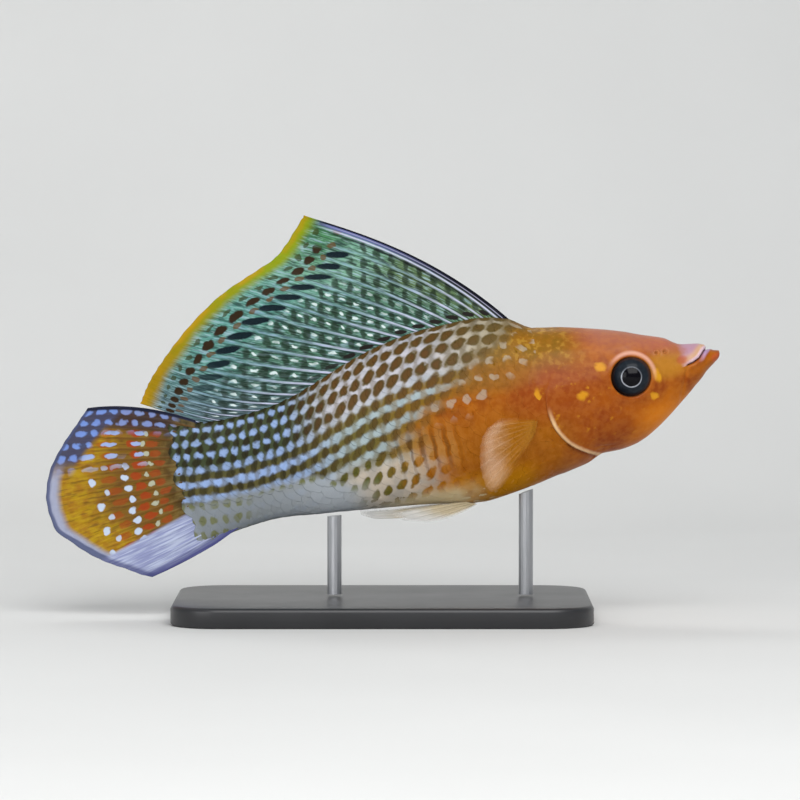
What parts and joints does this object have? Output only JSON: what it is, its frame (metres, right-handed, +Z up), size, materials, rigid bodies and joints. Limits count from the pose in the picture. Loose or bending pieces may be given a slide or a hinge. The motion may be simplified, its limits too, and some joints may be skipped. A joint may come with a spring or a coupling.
{
  "type": "fish model",
  "caption": "Life-size model of a male sailfin molly with a tall spread back fin, orange head and spotted teal and orange fins, nose up on a low display stand",
  "frame": {"origin": "On the floor under the middle of the model's bounding box, in the plane that halves the fish left and right.", "axes": "+X to the fish's head, +Y to the fish's left side, +Z up. The fish is pitched nose up by 13.5 degrees. The picture looks along +Y at its right flank."},
  "size_m": [0.0842, 0.036, 0.0502],
  "materials": {
    "skin": "cast resin painted orange to silver blue under a clear coat",
    "fin": "translucent tinted resin with painted spots",
    "clear_fin": "clear pale resin, lightly tinted",
    "eye": "polished, dark iris with a thin silver ring",
    "stand_base": "satin black",
    "stand_rod": "brushed"
  },
  "bodies": {
    "root": {"head": "skin", "lower_jaw": "skin", "gill_cover_right": "skin", "gill_cover_left": "skin", "torso": "skin", "tail_stem": "skin", "eye_right": "eye", "eye_left": "eye", "dorsal_fin": "fin", "caudal_fin": "fin", "gonopodium": "clear_fin", "pelvic_fin_right": "clear_fin", "pelvic_fin_left": "clear_fin", "pectoral_fin_right": "clear_fin", "pectoral_fin_left": "clear_fin", "stand_base": "stand_base", "stand_rod_front": "stand_rod", "stand_rod_rear": "stand_rod"}
  },
  "joints": []
}
